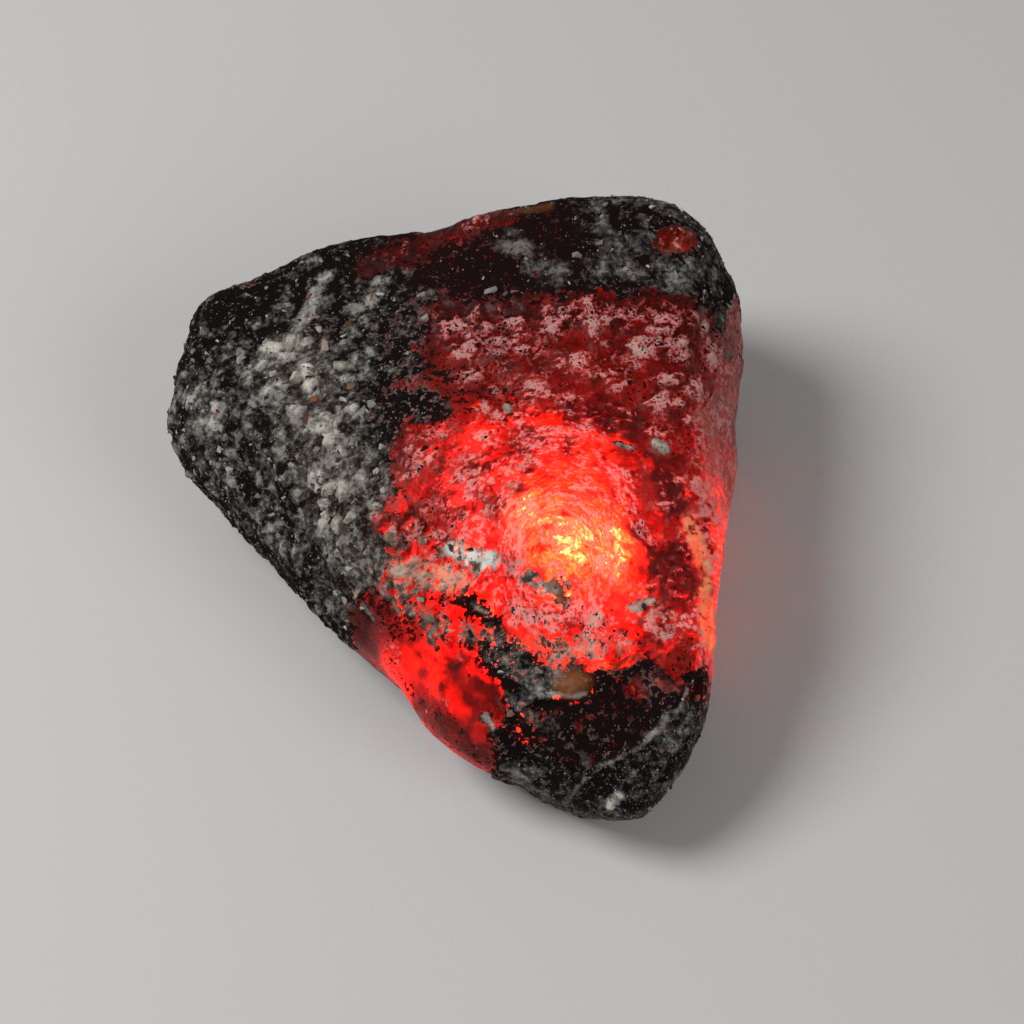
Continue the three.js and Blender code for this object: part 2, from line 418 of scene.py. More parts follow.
# Local marks on the upper side: a name, a path in plan, its width, and what the skin is there.
MARKS = (
    ("upper left dark", ((-15.0, 9.0), (-13.0, 11.5)), 5.5, {"pale": 0.32}),
    ("dark behind the belt", ((-5.0, 2.0), (-4.4, 6.0), (-3.6, 9.0)), 4.4,
     {"pale": 0.4, "clear": 0.25, "stain": 0.3}),
    ("pale belt", ((-11.4, 6.6), (-9.0, -0.8), (-7.4, -5.0), (-4.6, -7.8)), 7.0,
     {"pale": 0.68, "pebbly": 1.0, "warm": 0.06}),
    ("pale stripe", ((-9.6, 12.4), (-11.2, 8.6)), 1.5, {"pale": 0.85, "flat": 0.4}),
    ("pale left end", ((-17.9, 6.0), (-16.4, 3.0)), 2.6, {"pale": 0.68}),
    ("back right grey", ((9.0, 10.5), (12.0, 9.5), (15.0, 10.0)), 3.4, {"pale": 0.42}),
    ("back red", ((-6.5, 12.9), (-2.5, 14.2), (2.0, 14.8)), 3.0,
     {"clear": 0.75, "haze": 0.22, "stain": 1.6, "pale": 0.15, "thin": 0.5}),
    ("back red glint", ((-1.0, 15.2), (0.6, 15.4)), 1.4,
     {"clear": 1.4, "haze": 0.45, "stain": 1.2, "pale": 0.15, "thin": 0.2}),
    ("back grains", ((2.4, 13.0), (3.6, 11.8), (5.0, 10.6)), 3.6, {"pale": 0.56}),
    ("rust edge", ((2.6, 15.4), (4.6, 15.8)), 1.2, {"warm": 0.6, "pale": 0.5}),
    ("red spot", ((12.2, 13.0), (13.3, 13.4)), 2.3,
     {"clear": 1.5, "haze": 0.22, "pale": 0.0, "stain": 0.8, "thin": 0.2, "flat": 1.0}),
    ("dark strip", ((-4.6, 3.4), (-1.0, 2.2), (2.4, 1.6)), 1.9,
     {"clear": 0.55, "pale": 0.15, "haze": 0.4}),
    ("dark red patch", ((8.0, 0.8), (10.6, -0.8), (11.8, -3.0), (12.3, -5.2)), 2.6,
     {"clear": 1.3, "haze": 0.2, "stain": 2.0, "wrinkled": 0.4}),
    ("red tongue", ((10.0, -4.4), (11.5, -6.6)), 1.8, {"clear": 1.4, "haze": 0.15, "stain": 0.7}),
    ("right chip", ((11.2, -1.4), (11.6, -1.9)), 1.5,
     {"clear": 0.0, "pale": 1.05, "warm": 0.12, "stain": 0.35, "rise": 0.35, "flaky": 0.0}),
    ("left chip", ((8.7, -1.5), (9.7, -1.8)), 0.8,
     {"clear": 0.0, "pale": 0.9, "warm": 0.1, "stain": 0.2, "rise": 0.25, "flaky": 0.0}),
    ("frosted corner", ((9.8, -10.8), (13.2, -11.2)), 2.4,
     {"stain": 0.8, "haze": 0.66, "clear": 1.0, "pale": 0.6, "thin": 0.3}),
    ("corner flecks", ((9.4, -10.6), (10.8, -10.2)), 0.9,
     {"clear": 0.4, "pale": 1.2, "stain": 0.2, "warm": 0.1}),
    ("pebble row", ((7.2, -13.0), (9.4, -12.8)), 1.4,
     {"clear": 0.7, "haze": 0.8, "pale": 1.0, "stain": 0.9, "pebbly": 0.9, "warm": 0.1}),
    ("dark corner", ((11.2, -13.2), (13.2, -12.6)), 2.2,
     {"stain": 1.0, "haze": 0.35, "clear": 0.85, "pale": 0.25}),
    ("corner streak", ((11.0, -12.4), (11.2, -13.6)), 0.7, {"clear": 1.4, "haze": 0.0, "stain": 0.6}),
    ("hollow", ((10.0, -8.6), (12.2, -8.3), (13.0, -9.2)), 3.2,
     {"clear": 1.3, "haze": 0.15, "stain": 2.0, "pale": 0.0, "wrinkled": 0.3}),
    ("rock stain", ((-1.8, -10.4), (0.8, -11.8)), 2.8,
     {"clear": 0.75, "haze": 0.3, "stain": 1.8, "pale": 0.2}),
    ("dark rock", ((-0.8, -10.3), (0.3, -11.0), (1.2, -11.7)), 1.5,
     {"clear": 0.1, "pale": 0.1, "haze": 0.1, "stain": 0.4}),
    ("grey slash", ((-0.1, -10.7), (0.9, -11.35)), 0.45, {"clear": 0.0, "pale": 0.62, "stain": 0.0}),
    ("red slash", ((1.1, -10.3), (1.25, -11.3)), 0.45, {"clear": 1.5, "haze": 0.0, "stain": 0.2}),
    ("white grains", ((-1.7, -11.8), (-1.4, -12.0)), 0.8, {"clear": 0.0, "pale": 1.2, "stain": 0.0}),
    ("white grains low", ((-0.7, -12.5), (-0.5, -12.9)), 0.8,
     {"clear": 0.0, "pale": 1.1, "stain": 0.0}),
    ("tan front", ((3.2, -12.6), (5.4, -13.3), (7.0, -13.0)), 2.2,
     {"clear": 0.6, "haze": 0.7, "pale": 0.75, "warm": 0.15, "stain": 0.2}),
    ("black crust", ((1.2, -12.7), (2.6, -13.9), (4.3, -15.0)), 2.6,
     {"clear": 0.1, "pale": 0.5, "haze": 0.3, "sooty": 1.0, "stain": 0.0}),
    ("whitish patch", ((-1.3, -8.0), (-0.2, -8.5), (0.2, -8.9), (1.2, -8.8)), 1.8,
     {"clear": 0.1, "pale": 1.3, "flat": 0.4, "stain": 0.0}),
    ("brown spot", ((0.25, -9.2), (0.35, -9.1)), 0.45, {"clear": 0.0, "warm": 0.9, "pale": 0.4}),
    ("grey patch", ((3.3, -9.4), (4.2, -9.9)), 1.6, {"clear": 0.2, "pale": 0.85, "stain": 0.0}),
    ("brown heart", ((4.8, -9.7), (5.2, -10.4)), 1.3,
     {"clear": 0.0, "warm": 0.85, "pale": 0.7, "stain": 0.0, "rise": 0.25}),
    ("brown rim", ((5.2, -9.2), (5.9, -10.0), (5.6, -11.0)), 0.4,
     {"clear": 0.0, "warm": 0.3, "pale": 1.05, "stain": 0.0}),
    ("tan stretch", ((-4.8, -8.0), (-2.4, -9.1), (-0.8, -9.6)), 2.0,
     {"warm": 0.3, "pale": 0.95, "clear": 0.62, "haze": 0.95, "thin": 0.3, "stain": 0.4}),
    ("crust edge", ((-3.8, -9.8), (-2.4, -11.4), (-0.6, -12.4)), 2.6,
     {"clear": 0.5, "haze": 0.75, "pale": 0.85, "stain": 1.1, "thin": 0.3, "pebbly": 0.6, "warm": 0.1}),
    ("red ledge", ((7.0, -13.9), (8.8, -13.9), (10.3, -13.2)), 0.85,
     {"clear": 1.5, "haze": 0.15, "pale": 0.0, "stain": 0.4}),
    ("bleb", ((5.5, -14.8), (6.3, -14.7)), 2.2,
     {"clear": 0.0, "warm": 1.0, "pale": 0.55, "rise": 0.45, "flat": 1.0, "gloss": 1.0, "stain": 0.0}),
    ("bleb rim", ((4.6, -15.3), (5.6, -15.5), (6.6, -15.3)), 0.5, {"clear": 0.0, "pale": 1.1}),
    ("wall gold", ((13.1, -6.0), (13.7, -7.8), (14.2, -9.4), (14.4, -11.9)), 1.5,
     {"clear": 1.5, "haze": 0.75, "thin": 1.0, "warm": 1.0, "stain": 0.0}),
    ("flank top", ((-6.4, -9.2), (-4.8, -10.6), (-3.6, -11.4)), 1.9,
     {"clear": 0.6, "haze": 0.15, "stain": 2.0, "pale": 0.1}),
    ("flank foot", ((-5.3, -11.7), (-3.4, -13.8), (-1.5, -15.9), (0.5, -17.9)), 2.2,
     {"clear": 0.7, "haze": 0.35, "thin": 0.15, "stain": 1.9, "pale": 0.3}),
    # painted shade: a darker, deep-stained strip with little film, right of the streak, where the flank
    # lies in shadow
    ("painted flank shade", ((-1.6, -12.4), (-0.2, -13.8), (1.0, -15.2), (1.3, -16.0)), 2.1,
     {"clear": 0.9, "haze": 0.15, "stain": 2.0, "pale": 0.1}),
    # partly painted light: this streak's lighter stain stands in for the torch's image seen through the
    # flank, which the torch also lights
    ("painted torch streak on flank", ((-4.2, -12.2), (-2.7, -13.5), (-1.3, -14.9), (-0.2, -16.2), (0.3, -16.8)), 1.35,
     {"clear": 1.5, "haze": 0.0, "stain": 1.4}),
    ("flank sliver", ((-6.8, -9.0), (-6.2, -9.8)), 0.4, {"clear": 0.0, "haze": 0.0, "pale": 1.1}),
    ("flank sliver low", ((-4.9, -9.8), (-4.4, -10.3)), 0.35, {"clear": 0.0, "haze": 0.0, "pale": 1.0}),
    ("edge line", ((-3.1, -11.1), (-2.1, -12.3)), 0.35, {"clear": 0.0, "haze": 0.0, "pale": 0.9}),
    ("flank chip", ((0.7, -16.2), (1.2, -16.6)), 0.7,
     {"clear": 0.0, "haze": 0.0, "pale": 0.9, "stain": 0.0}),
    ("tip ridge",
     ((5.4, -19.9), (7.1, -19.1), (8.5, -18.6), (9.9, -18.0), (12.2, -15.9), (13.6, -13.4)), 0.45,
     {"pale": 0.62, "rise": 0.05}),
    ("side ridge", ((1.4, -15.0), (2.8, -16.5), (5.3, -17.4), (6.9, -18.8)), 1.0,
     {"pale": 0.46, "rise": -0.1}),
    ("tip smear", ((3.4, -16.4), (5.4, -17.2)), 1.0, {"pale": 0.5}),
    ("tip smear low", ((1.2, -18.9), (2.0, -19.6), (3.0, -20.4)), 1.4, {"pale": 0.6}),
    ("tip white", ((8.2, -20.4), (8.8, -20.3)), 0.7, {"pale": 1.1}),
    ("scar spot", ((9.6, -15.0), (10.1, -15.2)), 1.2, {"clear": 1.5, "haze": 0.0, "stain": 0.7}),
    ("scar streak", ((10.9, -14.3), (11.6, -14.8), (12.4, -14.4)), 1.0,
     {"clear": 1.5, "haze": 0.0, "stain": 0.7}),
)
COARSE_WIDTH = 2.2  # wider marks get the zones' ragged outlines, narrower ones keep their shape

STORED = ("clear", "haze", "pale", "warm", "stain", "thin", "gloss", "window", "wrinkled")
RELIEF_ONLY = ("pebbly", "flaky", "flat", "sooty", "rise")
CHANNEL_TOP = {"clear": 1.5, "pale": 2.0, "stain": 2.0}  # the level stored as 1, where it isn't 1


def curve_at(place, curve):
    xs, ys = zip(*curve)
    return np.interp(place, xs, ys)


def paint(coat, mask, levels):
    """Moves the coat's channels towards the given levels where the mask is 1."""
    for channel, level in levels.items():
        coat[channel] += mask * (level - coat[channel])


def crust_zones(x, y, z, up):
    back = smooth_step(y, *BACK_FRONT) * smooth_step(x, *BACK_LEFT)
    left = 1.0 - smooth_step(x - LEFT_LEAN * y, *LEFT_EDGE)
    left *= 1.0 - smooth_step(y - LEFT_BACK_LEAN * x, *LEFT_BACK)
    return {
        "crust": np.ones(len(x)),
        "back": back,
        "back_right": back * smooth_step(x, *BACK_RIGHT),
        "left": left,
        "left_foot": left * (1.0 - smooth_step(z, *LEFT_FOOT)),
        "band": smooth_step(x + BAND_LEAN * y, *BAND_EDGE) * (1.0 - smooth_step(y, *BACK_FRONT)) * up,
    }


def dome_zones(x, y, plan, ragged, up):
    dome = spot(plan, DOME_MIDDLE, DOME_RADIUS, 0.5) * up
    return {
        "dome": dome,
        "core": stroke(plan, CORE_PATH, CORE_WIDTH) * up,
        "front": smooth_step(-y, *DOME_FRONT) * dome,
        "dome_edge": smooth_step(-x, *DOME_LEFT) * dome,
        "left_blend": stroke(ragged, LEFT_BLEND_PATH, LEFT_BLEND_WIDTH) * up,
    }


def side_zones(x, y, z):
    outward = math.cos(FLANK_AZIMUTH) * x + math.sin(FLANK_AZIMUTH) * y
    flank = smooth_step(outward - curve_at(x, FLANK_EDGE), *FLANK_START)
    flank *= (1.0 - smooth_step(x, *FLANK_RIGHT)) * smooth_step(x, *FLANK_LEFT)
    wall = smooth_step(x - curve_at(y, WALL_EDGE), *WALL_START)
    return {
        "flank": flank,
        "foot": flank * (1.0 - smooth_step(z, *FLANK_FOOT)),
        "wall": wall,
        "wall_back": wall * smooth_step(y, *WALL_BACK),
    }


def tip_zones(x, y):
    below_ledge = smooth_step(curve_at(x, LEDGE) - y, *LEDGE_START)
    above_ridge = smooth_step(y - curve_at(x, TIP_RIDGE), *RIDGE_START)
    return {
        "scar": below_ledge * above_ridge * smooth_step(x, *SCAR_LEFT),
        "tip": below_ledge * (1.0 - above_ridge) * smooth_step(x, *TIP_LEFT),
    }


def back_wall_zones(points, normals, wander, z, up):
    ragged_z = z + 2.5 * wander[:, 2]
    facing_back = smooth_step(normals[:, 1] + 0.2 * wander[:, 0], *BACK_WALL_SLOPE)
    back_wall = facing_back * smooth_step(ragged_z, *BACK_WALL_LOW)
    return {
        "back_wall": back_wall * (1.0 - smooth_step(ragged_z, *BACK_WALL_HIGH)),
        "glint": spot(points, GLINT_PLACE, GLINT_RADIUS) * (1.0 - up),
    }


def ground_zones(plan, z):
    """The flat patch underneath and the clear window in it, which the torch lights."""
    ground = 1.0 - smooth_step(z, *GROUND_TOP)
    main = np.maximum(*(spot(plan, *place) for place in WINDOW_SPOTS))
    bar = stroke(plan, WINDOW_BAR, WINDOW_BAR_WIDTH)
    return {
        "ground": ground,
        "window": np.maximum(main, bar) * ground,
        "window_bar": bar * (1.0 - main) * ground,
        "window_outer": (1.0 - spot(plan, *WINDOW_CLEAREST)) * ground,
    }


def lump_coat(points, normals):
    """What the skin is at each point, in channels from 0 to 1, or to CHANNEL_TOP.

    clear: see-through amber, not opaque crust. haze: pale film on clear amber. thin: film that lets
    light through. pale: pale grains in the crust. warm: brown tint of the crust, gold tint of the film.
    stain: dark red tint of everything. gloss: smooth break. window: light-scattering skin underneath.
    wrinkled, pebbly, flaky: kinds of relief. flat: lack of it. sooty: speckled black crust.
    rise: height above the bare skin, in mm.
    """
    wander = np.stack([layered(points, WANDER_COARSE, SEED + k) for k in (1, 2, 3)], 1)
    wander += 0.3 * np.stack([layered(points, WANDER_FINE, SEED + k) for k in (7, 8, 9)], 1)
    bent = points + wander
    x, y, z = bent.T
    up = smooth_step(normals[:, 2], *UP_SLOPE)
    plan = bent * FLATTEN
    steady = (points + 0.3 * wander) * FLATTEN
    coat = {name: np.zeros(len(points)) for name in STORED + RELIEF_ONLY}
    zones = crust_zones(x, y, z, up)
    zones.update(dome_zones(x, y, plan, plan + 2.0 * wander * FLATTEN, up))
    zones.update(side_zones(x, y, z))
    zones.update(tip_zones(x, y))
    zones.update(back_wall_zones(points, normals, wander, z, up))
    for name, mask in zones.items():
        paint(coat, mask, ZONES[name])
    for _, path, width, levels in MARKS:
        path = [(*place, 0.0) for place in path]
        paint(coat, stroke(plan if width > COARSE_WIDTH else steady, path, width) * up, levels)
    for name, mask in ground_zones(plan, z).items():
        paint(coat, mask, ZONES[name])
    return coat


# ---------------------------------------------------------------- relief on the lump

SWIRL_MIDDLE = (5.2, -6.8)  # in plan: the wrinkles run round the dome's top
SWIRL_PULL = 0.7  # lower draws the wrinkles out more
SWIRL_REACH = 10.0  # how far from the middle the wrinkles keep to rings


def swirl(points):
    """Places in which noise is drawn out along rings round the dome's top."""
    x, y = points[:, 0] - SWIRL_MIDDLE[0], points[:, 1] - SWIRL_MIDDLE[1]
    ring = SWIRL_REACH * np.tanh(np.hypot(x, y) / SWIRL_REACH)
    return np.stack([SWIRL_PULL * x, SWIRL_PULL * y, ring + 0.8 * points[:, 2]], 1)


NEUTRAL_CHIPS = 0.35  # neither on a chip nor in a groove
SEAT_RISE = (0.0, 0.6)  # height over which the relief sets in, above the flat patch


def plates(points, size, seed, share=1.0):
    """Angular flat-topped bits, 0 to 1 high, parted by grooves. share is how many there are."""
    near, second, number = cells(points, size, seed)
    present = smooth_step(number, 1.0 - share, 1.15 - share)
    return smooth_step(second - near, 0.04, 0.28) * present * (0.4 + 0.6 * (number * 7.0 % 1.0))


def lump_heights(points, coat):
    """Outward rise of each point, from the relief of its kind of skin."""
    bent = points + 0.3 * np.stack([noise(points, 0.9, SEED + k) for k in (4, 5, 6)], 1)
    lumps = layered(points, 1.9, SEED + 70, 4, 0.6)
    big = plates(bent, 1.1, SEED + 20, 0.6)
    small = plates(bent, 0.55, SEED + 30, 0.8)
    flakes = plates(bent * [0.5, 1.1, 1.1], 0.9, SEED + 35, 0.7)
    rings = swirl(points)
    foil = 0.22 * (creased(rings, 1.5, SEED + 40, 2) - 0.6)
    foil += 0.14 * (creased(rings, 0.6, SEED + 50, 2) - 0.6)
    height = coat["rise"] + (1.0 - coat["flat"]) * 0.14 * layered(points, 2.2, SEED + 10)
    height += coat["pebbly"] * (0.26 * lumps + 0.24 * big + 0.12 * small)
    height += coat["flaky"] * (0.2 * lumps + 0.28 * flakes + 0.08 * small)
    height += coat["wrinkled"] * foil
    height += coat["gloss"] * 0.05 * noise(points * [0.4, 1.4, 1.4], 0.9, SEED + 60)
    chips = NEUTRAL_CHIPS + coat["pebbly"] * (big - NEUTRAL_CHIPS)
    chips += coat["flaky"] * (flakes - NEUTRAL_CHIPS)
    return height, chips


def build_lump():
    lump = fine_mesh()
    mesh = lump.data
    points = mesh_points(mesh)
    normals = mesh_normals(mesh)
    coat = lump_coat(points, normals)
    height, chips = lump_heights(points, coat)
    seat = smooth_step(points[:, 2], *SEAT_RISE)
    points = points + normals * (height * seat)[:, None]
    points[:, 2] = np.maximum(points[:, 2], 0.0)
    set_points(mesh, points)
    for name in STORED:
        store(mesh, name, coat[name] / CHANNEL_TOP.get(name, 1.0))
    store(mesh, "chips", chips)
    store_places(mesh, "swirl", swirl(points))
    for polygon in mesh.polygons:
        polygon.use_smooth = True
    return lump, coat


# ---------------------------------------------------------------- many small pieces as one joined mesh


def random_turns(count, rng):
    """Random rotations, as 3 x 3 arrays."""
    q = rng.normal(size=(count, 4))
    w, x, y, z = (q / np.linalg.norm(q, axis=1, keepdims=True)).T
    rows = (
        (1 - 2 * (y * y + z * z), 2 * (x * y - w * z), 2 * (x * z + w * y)),
        (2 * (x * y + w * z), 1 - 2 * (x * x + z * z), 2 * (y * z - w * x)),
        (2 * (x * z - w * y), 2 * (y * z + w * x), 1 - 2 * (x * x + y * y)),
    )
    return np.stack([np.stack(row, 1) for row in rows], 1)


def copies(shape, turns, sizes, places):
    """Turned, sized and placed copies of a shape, as (points, triangles)."""
    base, triangles = shape
    points = np.einsum("nij,nkj->nki", turns, base[None] * sizes[:, None, :]) + places[:, None, :]
    faces = triangles[None] + (np.arange(len(places)) * len(base))[:, None, None]
    return points.reshape(-1, 3), faces.reshape(-1, 3)


def joined_piece(name, groups):
    """One mesh object of groups of (points, triangles, {attribute: value at each point})."""
    points = np.concatenate([group[0] for group in groups])
    starts = np.cumsum([0] + [len(group[0]) for group in groups[:-1]])
    faces = np.concatenate([group[1] + start for group, start in zip(groups, starts)])
    mesh = bpy.data.meshes.new(name)
    mesh.from_pydata(((points + CORE) * MM).tolist(), [], faces.tolist())
    for key in groups[0][2]:
        store(mesh, key, np.concatenate([group[2][key] for group in groups]))
    piece = bpy.data.objects.new(name, mesh)
    bpy.context.scene.collection.objects.link(piece)
    return piece


def mesh_shape(work):
    """The points and triangles of a bmesh, which is then freed."""
    work.verts.ensure_lookup_table()
    work.verts.index_update()
    points = np.array([v.co[:] for v in work.verts])
    triangles = np.array([[v.index for v in f.verts] for f in work.faces])
    work.free()
    return points, triangles


def ball_shape():
    work = bmesh.new()
    bmesh.ops.create_icosphere(work, subdivisions=1, radius=1.0)
    return mesh_shape(work)


def crumb_shape(corners, rng):
    """An angular crumb: the hull of a few random corners on a ball."""
    work = bmesh.new()
    for corner in rng.normal(size=(corners, 3)):
        corner *= rng.uniform(0.8, 1.0) / np.linalg.norm(corner)
        work.verts.new(corner)
    bmesh.ops.convex_hull(work, input=work.verts)
    bmesh.ops.delete(work, geom=[v for v in work.verts if not v.link_faces], context="VERTS")
    bmesh.ops.triangulate(work, faces=work.faces)
    return mesh_shape(work)


SPANGLE_COUNT = 3000
SPANGLE_DEPTH = 1.6  # least depth under the skin
SPANGLE_RADIUS = (0.3, 0.85)
SPANGLE_THICKNESS = 0.12  # as a share of the radius
SPANGLE_COLOUR = (0.95, 0.7, 0.5)
BEAM = ((5.4, 1.4, 0.0), (5.9, -7.4, 16.0))  # a way up through the lump, left clear
BEAM_RADIUS = 2.6
# Clusters of spangles close under clear spots: middle in plan, radius, how many.
CLUSTERS = (
    ((12.7, 13.2), 1.0, 70), ((-2.4, 14.6), 1.0, 14), ((0.6, 14.9), 1.0, 14), ((9.9, -15.2), 0.6, 24),
    ((11.6, -14.6), 0.8, 34), ((7.4, -14.0), 0.6, 14), ((8.7, -13.8), 0.6, 14), ((9.9, -13.4), 0.6, 14),
)
CLUSTER_DEPTH = (0.7, 1.6)  # under the skin
CLUSTER_RADIUS = (0.15, 0.3)  # of each spangle in them
ABOVE_LUMP = 40.0  # a height well over the lump's top


def mesh_tree(mesh):
    return BVHTree.FromPolygons([v.co for v in mesh.vertices], [p.vertices for p in mesh.polygons])


def skin_places(mesh, plan_places):
    """Straight up from places in plan, on the lump's upper skin."""
    tree = mesh_tree(mesh)
    down = Vector((0.0, 0.0, -1.0))
    found = [tree.ray_cast(metres((x, y, ABOVE_LUMP)), down)[0] for x, y in plan_places]
    return np.array([place[:] for place in found]) / MM - CORE


def cluster_places(mesh, rng):
    plan_places = []
    for middle, radius, count in CLUSTERS:
        plan_places.extend(np.asarray(middle) + rng.uniform(-radius, radius, (count, 2)))
    places = skin_places(mesh, plan_places)
    places[:, 2] -= rng.uniform(*CLUSTER_DEPTH, len(places))
    return places


def deep_places(count, depth, rng):
    """Random places inside the lump, at least that far under its skin."""
    tree = mesh_tree(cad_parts[NODE].data)
    low, high = (np.array(corner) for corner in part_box(NODE))
    places = []
    beam_start, beam_end = (metres(end) for end in BEAM)
    while len(places) < count:
        place = Vector(rng.uniform(low, high))
        nearest, normal, _, away = tree.find_nearest(place)
        on_beam, _ = intersect_point_line(place, beam_start, beam_end)
        inside = (place - nearest).dot(normal) < 0.0 and away > depth * MM
        if inside and (place - on_beam).length > BEAM_RADIUS * MM:
            places.append(np.array(place) / MM - CORE)
    return np.array(places)


def build_spangles(lump):
    """Small round cracks sealed in the amber, which catch the light."""
    rng = np.random.default_rng(SEED + 200)
    deep = deep_places(SPANGLE_COUNT, SPANGLE_DEPTH, rng)
    near = cluster_places(lump.data, rng)
    places = np.concatenate([deep, near])
    deep_radius = rng.uniform(*SPANGLE_RADIUS, len(deep))
    near_radius = rng.uniform(*CLUSTER_RADIUS, len(near))
    radius = np.concatenate([deep_radius, near_radius])
    width = radius * rng.uniform(0.6, 1.0, len(radius))
    sizes = np.stack([radius, width, SPANGLE_THICKNESS * radius], 1)
    points, faces = copies(ball_shape(), random_turns(len(radius), rng), sizes, places)
    piece = joined_piece("sealed_spangles", [(points, faces, {})])
    piece.data.materials.append(plain_material("spangle", SPANGLE_COLOUR, 0.5))
    return piece


CRUMB_SHAPES = 14  # different shapes, which the crumbs share
CHIP_SHAPE = (1.0, 0.9, 0.8)  # length, width and height, as shares of the radius
CRUMB_SUNK = 0.35  # depth of a crumb's middle under the skin, as a share of its radius
CRUMB_LOWEST = 0.6  # no crumb starts lower, so that the lump rests on its flat patch
BROWN_CRUMBS = 0.15  # the share of crumbs that are somewhat brown
# Loose kinds of crumb: how many, least and greatest radius in mm, least and greatest paleness.
CRUMB_KINDS = {
    "gravel": (1100, 0.12, 0.5, 0.1, 1.0),
    "sand": (2400, 0.06, 0.17, 0.15, 0.9),
    "speckle": (3200, 0.025, 0.09, 0.6, 1.0),
}
# Single larger chips on the upper side: place in plan, radius, paleness, how orange.
CHIPS = (
    ((-9.1, -4.5), 0.62, 1.0, 0.0), ((-7.5, -5.3), 0.6, 0.9, 0.1), ((-11.2, 4.4), 0.75, 0.95, 0.0),
    ((-9.4, 6.8), 0.5, 0.85, 0.35), ((-9.9, 2.7), 0.32, 0.6, 1.0), ((-5.0, -7.2), 0.5, 0.7, 0.5),
    ((-3.1, -7.5), 0.45, 0.7, 0.45), ((1.0, 9.4), 0.55, 0.75, 0.0), ((-3.1, 7.9), 0.35, 0.8, 0.1),
    ((7.8, 12.6), 0.45, 0.6, 0.0), ((6.4, 11.6), 0.4, 0.7, 0.0), ((2.1, 0.7), 0.5, 0.8, 0.3),
    ((8.3, -20.4), 0.35, 1.0, 0.0),
)


def crumb_weights(coat, points):
    """How likely each kind of crumb is to sit on each point of the lump."""
    off_ground = points[:, 2] > CRUMB_LOWEST
    crusted = (1.0 - smooth_step(coat["clear"], 0.3, 0.55)) * (1.0 - 0.8 * coat["gloss"]) * off_ground
    speckled = coat["sooty"] * off_ground
    return {
        "gravel": crusted * (0.02 + coat["pale"] ** 2) * (1.0 - coat["flat"]),
        "sand": crusted * (0.1 + coat["pale"]),
        "speckle": speckled + 0.05 * crusted,
    }


def build_crumbs(lump, coat):
    """Sand and chips stuck in the crust."""
    rng = np.random.default_rng(SEED + 300)
    points, normals = mesh_points(lump.data), mesh_normals(lump.data)
    chip_places, chip_radii, chip_tones, chip_hues = zip(*CHIPS)
    places = [skin_places(lump.data, chip_places)]
    radii, tones, hues = [chip_radii], [chip_tones], [chip_hues]
    for kind, weights in crumb_weights(coat, points).items():
        count, small, large, dark, pale = CRUMB_KINDS[kind]
        at = rng.choice(len(points), count, replace=False, p=weights / weights.sum())
        radius = small + (large - small) * rng.random(count) ** 2.0
        places.append(points[at] - CRUMB_SUNK * radius[:, None] * normals[at])
        radii.append(radius)
        tones.append(dark + (pale - dark) * rng.random(count))
        hues.append(np.where(rng.random(count) > 1.0 - BROWN_CRUMBS, 0.6 * rng.random(count), 0.0))
    places = np.concatenate(places)
    radii, tones, hues = np.concatenate(radii), np.concatenate(tones), np.concatenate(hues)
    widths = rng.uniform(0.6, 1.0, len(radii))
    heights = rng.uniform(0.4, 0.8, len(radii))
    sizes = radii[:, None] * np.stack([np.ones(len(radii)), widths, heights], 1)
    sizes[:len(CHIPS)] = radii[:len(CHIPS), None] * CHIP_SHAPE
    turns = random_turns(len(places), rng)
    groups = []
    for number in range(CRUMB_SHAPES):
        shape = crumb_shape(int(rng.integers(10, 18)), rng)
        mine = np.arange(len(places)) % CRUMB_SHAPES == number
        made, faces = copies(shape, turns[mine], sizes[mine], places[mine])
        each = len(shape[0])
        values = {"tone": np.repeat(tones[mine], each), "hue": np.repeat(hues[mine], each)}
        groups.append((made, faces, values))
    return joined_piece("crust_crumbs", groups)


# ---------------------------------------------------------------- materials


